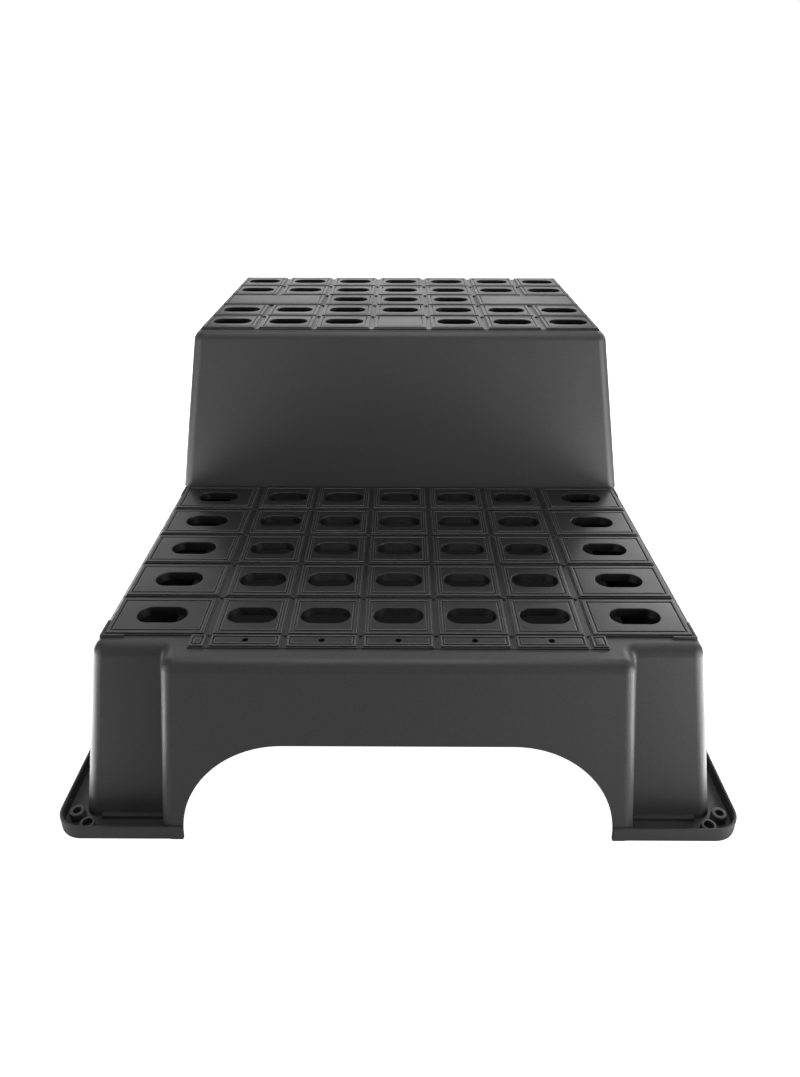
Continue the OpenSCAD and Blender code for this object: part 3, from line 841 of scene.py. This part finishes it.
def slot_outline(treads, pad_top, deck, shells):
    """A slot's wall from its rim down inside the collar and up outside it, as (growth, height)."""
    lip = pad_top - treads.slot_lip
    low = deck - shells.deck - treads.collar_reach
    bead = deck - shells.deck - treads.snap_drop
    inner = treads.slot_step
    outer = treads.collar
    edge = treads.collar_edge
    points = [(out, pad_top - down) for out, down in quarter_round(treads.slot_round, 4)]
    points += [(0, lip), (inner, lip), (inner, low + edge), (inner + edge, low)]
    points += [(outer - edge, low), (outer, low + edge), (outer + treads.snap, bead)]
    points += [(outer, bead + treads.snap), (outer, deck)]
    return points


def bore_outline(treads, pad_top, deck, shells):
    """A nosing bore's wall from its rim down to the deck, as (growth, height)."""
    rim = quarter_round(treads.bore_round, 2)
    return [(out, pad_top - down) for out, down in rim] + [(0, deck)]


def hole_wall(bm, x, y, size, outline):
    """Makes the wall of a hole, ring by ring, and returns the edges of its first and last rings."""
    long, wide = size
    first_grow, first_z = outline[0]
    first = stadium(bm, x, y, first_z, long + 2 * first_grow, wide + 2 * first_grow)
    last = first
    for grow, z in outline[1:]:
        grown = bmesh.ops.extrude_edge_only(bm, edges=last)["geom"]
        for v in (g for g in grown if isinstance(g, bmesh.types.BMVert)):
            middle = Vector((x + math.copysign((long - wide) / 2, v.co.x - x), y))
            spoke = (v.co.xy - middle).normalized() * (wide / 2 + grow)
            v.co = (*(middle + spoke), z)
        last = [g for g in grown if isinstance(g, bmesh.types.BMEdge) and g.is_boundary]
        last = [e for e in last if all(abs(v.co.z - z) < TINY for v in e.verts)]
    return first, last


def raise_face(bm, face, rise):
    """Extrudes one face straight up and returns it."""
    grown = bmesh.ops.extrude_discrete_faces(bm, faces=[face])["faces"][0]
    bmesh.ops.translate(bm, verts=list(grown.verts), vec=(0, 0, rise))
    return grown


def inset_face(bm, face, width):
    """Insets one face and returns the faces of the frame round it."""
    return bmesh.ops.inset_individual(bm, faces=[face], thickness=width, use_even_offset=True)["faces"]


def sink_faces(bm, faces, depth):
    """Presses faces down, with walls round them."""
    grown = bmesh.ops.extrude_face_region(bm, geom=faces)
    old = [f for f in faces if f.is_valid]
    if old:
        bmesh.ops.delete(bm, geom=old, context="FACES_KEEP_BOUNDARY")
    moved = [g for g in grown["geom"] if isinstance(g, bmesh.types.BMVert)]
    bmesh.ops.translate(bm, verts=moved, vec=(0, 0, -depth))


def web_plane(bm, node, height, cells, treads):
    """Makes the top of a strip's web, cut into a face under each cell, and returns those faces."""
    low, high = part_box(node)
    middle = (low + high) / 2
    place = Matrix.Translation((middle.x, middle.y, height))
    bmesh.ops.create_grid(bm, x_segments=1, y_segments=1, size=0.5, matrix=place)
    for v in bm.verts:
        v.co.x = middle.x + math.copysign((high.x - low.x) / 2, v.co.x - middle.x)
        v.co.y = middle.y + math.copysign((high.y - low.y) / 2, v.co.y - middle.y)
    edge = treads.plinth_edge
    for x, width, _ in cells:
        for cut in (x - width / 2 - edge, x + width / 2 + edge):
            if low.x + TINY < cut < high.x - TINY:
                whole = bm.verts[:] + bm.edges[:] + bm.faces[:]
                bmesh.ops.bisect_plane(bm, geom=whole, plane_co=(cut, 0, 0), plane_no=(1, 0, 0))
    return [min(bm.faces, key=lambda f: abs(f.calc_center_median().x - x)) for x, _, _ in cells]


def make_strip(name, node, cells, deck, scene, band, hole):
    """One tread strip: a thin web with a pad on it for each cell of (middle, width, holed)."""
    shells = scene.spa_steps_shells
    treads = scene.spa_steps_treads
    low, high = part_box(node)
    middle_y = (low.y + high.y) / 2
    pad_top = high.z
    bm = bmesh.new()
    faces = web_plane(bm, node, deck + treads.web, cells, treads)
    rim = [e for e in bm.edges if e.is_boundary]
    skirt = bmesh.ops.extrude_edge_only(bm, edges=rim)["geom"]
    foot_verts = [g for g in skirt if isinstance(g, bmesh.types.BMVert)]
    bottom = [g for g in skirt if isinstance(g, bmesh.types.BMEdge) and g.is_boundary]
    bmesh.ops.translate(bm, verts=foot_verts, vec=(0, 0, -treads.web))
    plates = []
    for face in faces:
        pad = raise_face(bm, face, treads.plinth - treads.web)
        inset_face(bm, pad, treads.plinth_edge)
        pad = raise_face(bm, pad, pad_top - deck - treads.plinth)
        inset_face(bm, pad, band)
        sink_faces(bm, inset_face(bm, pad, treads.groove), treads.groove_depth)
        plates.append(pad)
    size, outline = hole
    for (x, _, holed), plate in zip(cells, plates):
        if holed:
            rim, foot = hole_wall(bm, x, middle_y, size, outline(treads, pad_top, deck, shells))
            bottom += foot
            around = list(plate.edges)
            bmesh.ops.delete(bm, geom=[plate], context="FACES_ONLY")
            bmesh.ops.triangle_fill(bm, use_beauty=True, edges=around + rim)
    bmesh.ops.triangle_fill(bm, use_beauty=True, edges=bottom)
    bmesh.ops.recalc_face_normals(bm, faces=bm.faces[:])
    sharp = math.radians(60)
    # Painted highlight: the rounded crests and plinth ledges take the paler edge material
    crests = [e for e in edges_at(bm, pad_top) if e.is_manifold and e.calc_face_angle() > sharp]
    round_edges(bm, crests, treads.edge_round, 2, PAINTED_HIGHLIGHT)
    ledges = [e for e in edges_at(bm, deck + treads.plinth) if e.is_convex and e.calc_face_angle() > sharp]
    round_edges(bm, ledges, treads.edge_round / 2, 1, PAINTED_HIGHLIGHT)
    return new_object(name, close_up(bm))


def slotted(treads):
    """The hole of a slotted pad."""
    return (treads.slot_length, treads.slot_width), slot_outline


def lower_row(treads):
    """The cells of a lower row: two wide pads and five narrow ones."""
    middle, width = wide_pad(treads)
    narrow = treads.pitch_x - treads.gap
    cells = [(x, narrow, True) for x in inner_columns(treads)]
    return [(-middle, width, True), *cells, (middle, width, True)]


def upper_row(row, treads):
    """The cells of an upper row. The front one has a blank pad, and the middle one is short."""
    narrow = treads.pitch_x - treads.gap
    columns = upper_columns(treads)
    if row == 3:
        columns = columns[2:5]
    return [(x, narrow, not (row == 1 and abs(x) < TINY)) for x in columns]


def nosing_cells(treads):
    """The cells of the nosing: five drilled bars and a small square at each end."""
    narrow = treads.pitch_x - treads.gap
    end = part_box("nosing_strip")[1].x - treads.plinth_edge - treads.end_square / 2
    bars = [(x, narrow, True) for x in inner_columns(treads)]
    return [(-end, treads.end_square, False), *bars, (end, treads.end_square, False)]


# Screws

def foot_screw(place, tray):
    """A foot screw with a rounded head and a six-sided socket, as one turned and cut solid."""
    seat = BASE_LOW.z + tray.floor + tray.screw_seat
    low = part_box("foot_screws")[0].z
    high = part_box("foot_screws")[1].z
    r = tray.screw_head / 2
    shank = tray.screw_shank / 2
    drop = high - seat
    rim = tray.head_edge
    end = tray.shank_edge
    outline = [
        (0, high), (0.55 * r, high), (0.8 * r, high - 0.08 * drop), (0.95 * r, high - 0.3 * drop),
        (r, high - 0.62 * drop), (r, seat + rim), (r - rim, seat), (shank, seat),
        (shank, low + end), (shank - end, low), (0, low),
    ]
    bm = bmesh.new()
    turned(bm, outline, place, 36)
    screw = new_object("foot_screw", close_up(bm))
    socket = new_object("socket", post(place, tray.screw_socket, high - tray.socket_depth, high + CLEAR, 6))
    return combine(screw, [socket], "DIFFERENCE")


# Materials

def group_input(group, name, kind, default):
    """Adds a named input to a shader node group."""
    socket = group.interface.new_socket(name=name, in_out="INPUT", socket_type=kind)
    socket.default_value = default


def add_node(tree, kind, **settings):
    """Adds a node and sets its properties."""
    node = tree.nodes.new(kind)
    for key, value in settings.items():
        setattr(node, key, value)
    return node


def moulded_grain_group():
    """Fine leathery grain, as spark-eroded moulds leave it on plastic."""
    name = "moulded_grain"
    if name in bpy.data.node_groups:
        return bpy.data.node_groups[name]
    group = bpy.data.node_groups.new(name, "ShaderNodeTree")
    group_input(group, "Place", "NodeSocketVector", (0, 0, 0))
    group_input(group, "Grains per metre", "NodeSocketFloat", 1000)
    group.interface.new_socket(name="Height", in_out="OUTPUT", socket_type="NodeSocketFloat")
    group.interface.new_socket(name="Pits", in_out="OUTPUT", socket_type="NodeSocketFloat")
    inputs = group.nodes.new("NodeGroupInput")
    outputs = group.nodes.new("NodeGroupOutput")
    coarse = add_node(group, "ShaderNodeTexNoise", noise_dimensions="3D")
    coarse.inputs["Detail"].default_value = 3
    coarse.inputs["Roughness"].default_value = 0.6
    cells = add_node(group, "ShaderNodeTexVoronoi", feature="SMOOTH_F1")
    cells.inputs["Smoothness"].default_value = 0.6
    for node in (coarse, cells):
        group.links.new(inputs.outputs["Place"], node.inputs["Vector"])
        group.links.new(inputs.outputs["Grains per metre"], node.inputs["Scale"])
    mix = add_node(group, "ShaderNodeMix", data_type="FLOAT")
    mix.inputs["Factor"].default_value = 0.45
    group.links.new(coarse.outputs["Fac"], mix.inputs[2])
    group.links.new(cells.outputs["Distance"], mix.inputs[3])
    group.links.new(mix.outputs[0], outputs.inputs["Height"])
    pits = add_node(group, "ShaderNodeMapRange")
    pits.inputs["From Min"].default_value = 0.35
    pits.inputs["From Max"].default_value = 0.65
    group.links.new(coarse.outputs["Fac"], pits.inputs["Value"])
    group.links.new(pits.outputs["Result"], outputs.inputs["Pits"])
    return group


def cloudy_group():
    """Broad soft patches, where a moulding has cooled or been wiped unevenly."""
    name = "cloudy_patches"
    if name in bpy.data.node_groups:
        return bpy.data.node_groups[name]
    group = bpy.data.node_groups.new(name, "ShaderNodeTree")
    group_input(group, "Place", "NodeSocketVector", (0, 0, 0))
    group_input(group, "Patches per metre", "NodeSocketFloat", 9)
    group_input(group, "Low", "NodeSocketFloat", 0)
    group_input(group, "High", "NodeSocketFloat", 1)
    group.interface.new_socket(name="Value", in_out="OUTPUT", socket_type="NodeSocketFloat")
    inputs = group.nodes.new("NodeGroupInput")
    outputs = group.nodes.new("NodeGroupOutput")
    noise = add_node(group, "ShaderNodeTexNoise", noise_dimensions="3D")
    noise.inputs["Detail"].default_value = 4
    noise.inputs["Roughness"].default_value = 0.55
    group.links.new(inputs.outputs["Place"], noise.inputs["Vector"])
    group.links.new(inputs.outputs["Patches per metre"], noise.inputs["Scale"])
    spread = add_node(group, "ShaderNodeMapRange")
    spread.inputs["From Min"].default_value = 0.3
    spread.inputs["From Max"].default_value = 0.7
    group.links.new(noise.outputs["Fac"], spread.inputs["Value"])
    group.links.new(inputs.outputs["Low"], spread.inputs["To Min"])
    group.links.new(inputs.outputs["High"], spread.inputs["To Max"])
    group.links.new(spread.outputs["Result"], outputs.inputs["Value"])
    return group


def surface(name, rgb, roughness, grain, grain_depth, specular=0.5, metallic=0.0):
    """A grained material whose colour and roughness drift a little over the surface."""
    if name in bpy.data.materials:
        return bpy.data.materials[name]
    material = bpy.data.materials.new(name)
    material.use_nodes = True
    tree = material.node_tree
    shader = tree.nodes["Principled BSDF"]
    shader.inputs["Metallic"].default_value = metallic
    shader.inputs["Specular IOR Level"].default_value = specular
    place = tree.nodes.new("ShaderNodeTexCoord").outputs["Object"]

    grains = add_node(tree, "ShaderNodeGroup", node_tree=moulded_grain_group())
    grains.inputs["Grains per metre"].default_value = 1 / grain
    tree.links.new(place, grains.inputs["Place"])
    bump = tree.nodes.new("ShaderNodeBump")
    bump.inputs["Strength"].default_value = 1
    bump.inputs["Distance"].default_value = grain_depth
    tree.links.new(grains.outputs["Height"], bump.inputs["Height"])
    tree.links.new(bump.outputs["Normal"], shader.inputs["Normal"])

    dull = add_node(tree, "ShaderNodeGroup", node_tree=cloudy_group())
    dull.inputs["Patches per metre"].default_value = PATCHES_PER_METRE
    dull.inputs["Low"].default_value = roughness - ROUGHNESS_DRIFT
    dull.inputs["High"].default_value = roughness + ROUGHNESS_DRIFT
    tree.links.new(place, dull.inputs["Place"])
    tree.links.new(dull.outputs["Value"], shader.inputs["Roughness"])

    pale = add_node(tree, "ShaderNodeMix", data_type="RGBA")
    pale.inputs[6].default_value = (*(c * DARK_GRAIN for c in rgb), 1)
    pale.inputs[7].default_value = (*(c * PALE_GRAIN for c in rgb), 1)
    tree.links.new(grains.outputs["Pits"], pale.inputs[0])
    tree.links.new(pale.outputs[2], shader.inputs["Base Color"])
    return material


def shell_plastic(scene):
    """Dark grey moulded plastic of the shells."""
    finish = scene.spa_steps_finish
    return surface("grained_shell", finish.shell, finish.shell_roughness, finish.grain, finish.shell_depth)


def tread_plastic(scene):
    """The darker and slightly coarser plastic of the lower treads and the nosing."""
    finish = scene.spa_steps_finish
    return surface(
        "grained_tread", finish.tread, finish.tread_roughness, finish.tread_grain, finish.tread_depth
    )


def rough_plastic(scene):
    """The coarse non-slip plastic of the upper treads and plates."""
    finish = scene.spa_steps_finish
    return surface(
        "coarse_tread", finish.tread, finish.tread_roughness, finish.coarse_grain, finish.coarse
    )


def painted_highlight_plastic(scene):
    """The smoother plastic of the pads' rounded edges, coloured paler as a painted highlight."""
    finish = scene.spa_steps_finish
    return surface("worn_edge", finish.painted_highlight, finish.painted_highlight_roughness, finish.grain, finish.painted_highlight_depth)


def foot_rubber(scene):
    """Matt black rubber."""
    finish = scene.spa_steps_finish
    return surface(
        "matt_rubber", finish.rubber, finish.rubber_roughness, finish.rubber_grain, finish.rubber_depth,
        specular=0.35,
    )


def dark_steel(scene):
    """Blackened steel with fine marks."""
    finish = scene.spa_steps_finish
    return surface(
        "blackened_steel", finish.steel, finish.steel_roughness, finish.steel_grain, finish.steel_depth,
        metallic=0.95,
    )


# Operators

class SPASTEPS_OT_base_shell(bpy.types.Operator):
    """Make the lower storey with its apron, arch and tray"""

    bl_idname = "spa_steps.base_shell"
    bl_label = "Base shell"

    def execute(self, context):
        scene = context.scene
        piece = make_base_shell(scene)
        finish_piece(piece, [shell_plastic(scene)], "shell_plastic", "base_shell")
        return {"FINISHED"}


class SPASTEPS_OT_upper_shell(bpy.types.Operator):
    """Make the upper storey"""

    bl_idname = "spa_steps.upper_shell"
    bl_label = "Upper shell"

    def execute(self, context):
        scene = context.scene
        piece = make_upper_shell(scene)
        finish_piece(piece, [shell_plastic(scene)], "shell_plastic", "upper_shell")
        return {"FINISHED"}


class SPASTEPS_OT_lower_treads(bpy.types.Operator):
    """Make the five tread strips of the lower storey"""

    bl_idname = "spa_steps.lower_treads"
    bl_label = "Lower tread strips"

    def execute(self, context):
        scene = context.scene
        treads = scene.spa_steps_treads
        for row in TREAD_ROWS:
            node = f"lower_tread_strip_{row}"
            cells = lower_row(treads)
            name = f"lower_pads_{row}"
            piece = make_strip(name, node, cells, LOWER_DECK, scene, treads.band, slotted(treads))
            finish_piece(piece, [tread_plastic(scene), painted_highlight_plastic(scene)], "tread_plastic", node)
        return {"FINISHED"}


class SPASTEPS_OT_nosing(bpy.types.Operator):
    """Make the drilled nosing at the front of the lower tread"""

    bl_idname = "spa_steps.nosing"
    bl_label = "Nosing"

    def execute(self, context):
        scene = context.scene
        treads = scene.spa_steps_treads
        bore = ((treads.nosing_bore, treads.nosing_bore), bore_outline)
        cells = nosing_cells(treads)
        band = treads.nosing_band
        piece = make_strip("nosing_bars", "nosing_strip", cells, LOWER_DECK, scene, band, bore)
        finish_piece(piece, [tread_plastic(scene), painted_highlight_plastic(scene)], "tread_plastic", "nosing_strip")
        return {"FINISHED"}


class SPASTEPS_OT_upper_treads(bpy.types.Operator):
    """Make the five tread strips and the two blank plates of the upper storey"""

    bl_idname = "spa_steps.upper_treads"
    bl_label = "Upper tread strips and plates"

    def execute(self, context):
        scene = context.scene
        treads = scene.spa_steps_treads
        for row in TREAD_ROWS:
            node = f"upper_tread_strip_{row}"
            cells = upper_row(row, treads)
            name = f"upper_pads_{row}"
            piece = make_strip(name, node, cells, UPPER_DECK, scene, treads.band, slotted(treads))
            finish_piece(piece, [rough_plastic(scene), painted_highlight_plastic(scene)], "tread_plastic", node)
        for side in ("left", "right"):
            node = f"{side}_blank_plate"
            low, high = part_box(node)
            width = high.x - low.x - 2 * treads.plinth_edge
            cells = [((low.x + high.x) / 2, width, False)]
            piece = make_strip(f"{side}_plate", node, cells, UPPER_DECK, scene, treads.band, slotted(treads))
            finish_piece(piece, [rough_plastic(scene), painted_highlight_plastic(scene)], "tread_plastic", node)
        return {"FINISHED"}


class SPASTEPS_OT_foot_screws(bpy.types.Operator):
    """Make the four screws that hold the feet"""

    bl_idname = "spa_steps.foot_screws"
    bl_label = "Foot screws"

    def execute(self, context):
        tray = context.scene.spa_steps_tray
        screws = [foot_screw(place, tray) for place in corners_of(tray.screw_x, tray.screw_y)]
        with context.temp_override(active_object=screws[0], selected_editable_objects=screws):
            bpy.ops.object.join()
        screws[0].name = "foot_screw_set"
        finish_piece(screws[0], [dark_steel(context.scene)], "dark_steel", "foot_screws")
        return {"FINISHED"}


class SPASTEPS_OT_feet(bpy.types.Operator):
    """Finish the rubber feet"""

    bl_idname = "spa_steps.feet"
    bl_label = "Rubber feet"

    def execute(self, context):
        for name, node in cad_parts.items():
            if name.startswith("rubber_foot"):
                node.data.materials.clear()
                node.data.materials.append(foot_rubber(context.scene))
        return {"FINISHED"}


class SPASTEPS_OT_fasteners(bpy.types.Operator):
    """Finish the bolts, washers and nuts between the shells"""

    bl_idname = "spa_steps.fasteners"
    bl_label = "Bolts"

    def execute(self, context):
        for name in ("shell_bolts", "shell_washers", "shell_nuts"):
            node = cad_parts[name]
            node.data.materials.clear()
            node.data.materials.append(dark_steel(context.scene))
        return {"FINISHED"}


def soft_box(name, place, direction, size, power):
    """A large soft light that shines one way and isn't seen itself."""
    light = bpy.data.lights.new(name, "AREA")
    light.shape = "RECTANGLE"
    light.size = size[0]
    light.size_y = size[1]
    light.energy = power
    lamp = bpy.data.objects.new(name, light)
    lamp.location = place
    lamp.rotation_euler = direction.to_track_quat("-Z", "Y").to_euler()
    lamp.visible_camera = False
    bpy.context.scene.collection.objects.link(lamp)


def only_camera(tree, seen, unseen):
    """A value that is one number to the camera and another to the light that it casts."""
    path = add_node(tree, "ShaderNodeLightPath")
    mix = add_node(tree, "ShaderNodeMix", data_type="FLOAT")
    tree.links.new(path.outputs["Is Camera Ray"], mix.inputs[0])
    mix.inputs[2].default_value = unseen
    mix.inputs[3].default_value = seen
    return mix.outputs[0]


def floor_material(name, grey, glow_seen, glow_cast):
    """A plain matt floor, with a glow like a light table's."""
    material = bpy.data.materials.new(name)
    material.use_nodes = True
    tree = material.node_tree
    shader = tree.nodes["Principled BSDF"]
    shader.inputs["Base Color"].default_value = (grey, grey, grey, 1)
    shader.inputs["Roughness"].default_value = 0.9
    shader.inputs["Specular IOR Level"].default_value = 0
    shader.inputs["Emission Color"].default_value = (1, 1, 1, 1)
    tree.links.new(only_camera(tree, glow_seen, glow_cast), shader.inputs["Emission Strength"])
    return material


def make_floor(stage):
    """A plain white floor, with a thin dark sheet of painted shade under the steps that keeps their slots
    dark.
    """
    bm = bmesh.new()
    bmesh.ops.create_grid(bm, x_segments=1, y_segments=1, size=stage.floor_size / 2)
    floor = new_object("floor", bm)
    floor.data.materials.append(floor_material("white_floor", 0.85, stage.floor_white, stage.floor_glow))
    # Painted shade: a dark sheet on the floor under the steps stands in for the shadow there, seen through
    # the slots
    side = BASE_HIGH.x - stage.painted_shade_inset
    low = (-side, -stage.painted_shade_front, 0)
    mat = new_object("mat", box_between(low, (side, UPPER_HIGH.y, stage.painted_shade_thick)))
    mat.data.materials.append(floor_material("dark_mat", 0.03, stage.painted_shade_grey, 0))


class SPASTEPS_OT_stage(bpy.types.Operator):
    """Make the floor, the lights and the camera"""

    bl_idname = "spa_steps.stage"
    bl_label = "Floor, light and camera"

    def execute(self, context):
        scene = context.scene
        stage = scene.spa_steps_stage
        make_floor(stage)
        world = bpy.data.worlds.new("white_room")
        world.use_nodes = True
        backdrop = world.node_tree.nodes["Background"]
        backdrop.inputs["Color"].default_value = (1, 1, 1, 1)
        strength = only_camera(world.node_tree, 1, stage.sky)
        world.node_tree.links.new(strength, backdrop.inputs["Strength"])
        scene.world = world
        middle = Vector((0, 0, UPPER_DECK / 2))
        for name, place, width, height, power in SOFT_BOXES:
            soft_box(name, place, middle - Vector(place), (width, height), power * stage.brightness)
        for name, (x, y), width, power in FLOOR_PANELS:
            place = (x, y, PANEL_HEIGHT)
            soft_box(name, place, Vector((0, 0, 1)), (width, width), power * stage.brightness)

        lens = bpy.data.cameras.new("camera")
        lens.lens = stage.lens
        lens.sensor_width = 36
        camera = bpy.data.objects.new("camera", lens)
        look = Matrix.Rotation(stage.camera_turn, 4, "Z")
        look = look @ Matrix.Rotation(math.pi / 2 - stage.camera_pitch, 4, "X")
        look = look @ Matrix.Rotation(stage.camera_roll, 4, "Z")
        camera.matrix_world = Matrix.Translation(stage.camera_place) @ look
        scene.collection.objects.link(camera)
        scene.camera = camera
        scene.view_settings.view_transform = "Standard"
        return {"FINISHED"}


OPERATORS = (
    SPASTEPS_OT_stage,
    SPASTEPS_OT_base_shell,
    SPASTEPS_OT_upper_shell,
    SPASTEPS_OT_lower_treads,
    SPASTEPS_OT_nosing,
    SPASTEPS_OT_upper_treads,
    SPASTEPS_OT_foot_screws,
    SPASTEPS_OT_feet,
    SPASTEPS_OT_fasteners,
)


class SPASTEPS_PT_panel(bpy.types.Panel):
    """Lists the pieces of the spa steps and their sizes"""

    bl_idname = "SPASTEPS_PT_panel"
    bl_label = "Spa steps"
    bl_space_type = "VIEW_3D"
    bl_region_type = "UI"
    bl_category = "Spa steps"

    def draw(self, context):
        for operator in OPERATORS:
            self.layout.operator(operator.bl_idname)
        for setting in SETTINGS:
            group = getattr(context.scene, setting)
            column = self.layout.column(align=True)
            for name in group.__annotations__:
                column.prop(group, name)


def register():
    """Adds the settings, the operators and the panel."""
    for name, group in SETTINGS.items():
        bpy.utils.register_class(group)
        setattr(bpy.types.Scene, name, bpy.props.PointerProperty(type=group))
    for cls in (*OPERATORS, SPASTEPS_PT_panel):
        bpy.utils.register_class(cls)


def unregister():
    """Removes what register added."""
    for cls in reversed((*OPERATORS, SPASTEPS_PT_panel)):
        bpy.utils.unregister_class(cls)
    for name, group in reversed(SETTINGS.items()):
        delattr(bpy.types.Scene, name)
        bpy.utils.unregister_class(group)


def main():
    """Makes every piece."""
    register()
    for operator in OPERATORS:
        category, name = operator.bl_idname.split(".")
        getattr(getattr(bpy.ops, category), name)()


if __name__ == "__main__":
    main()
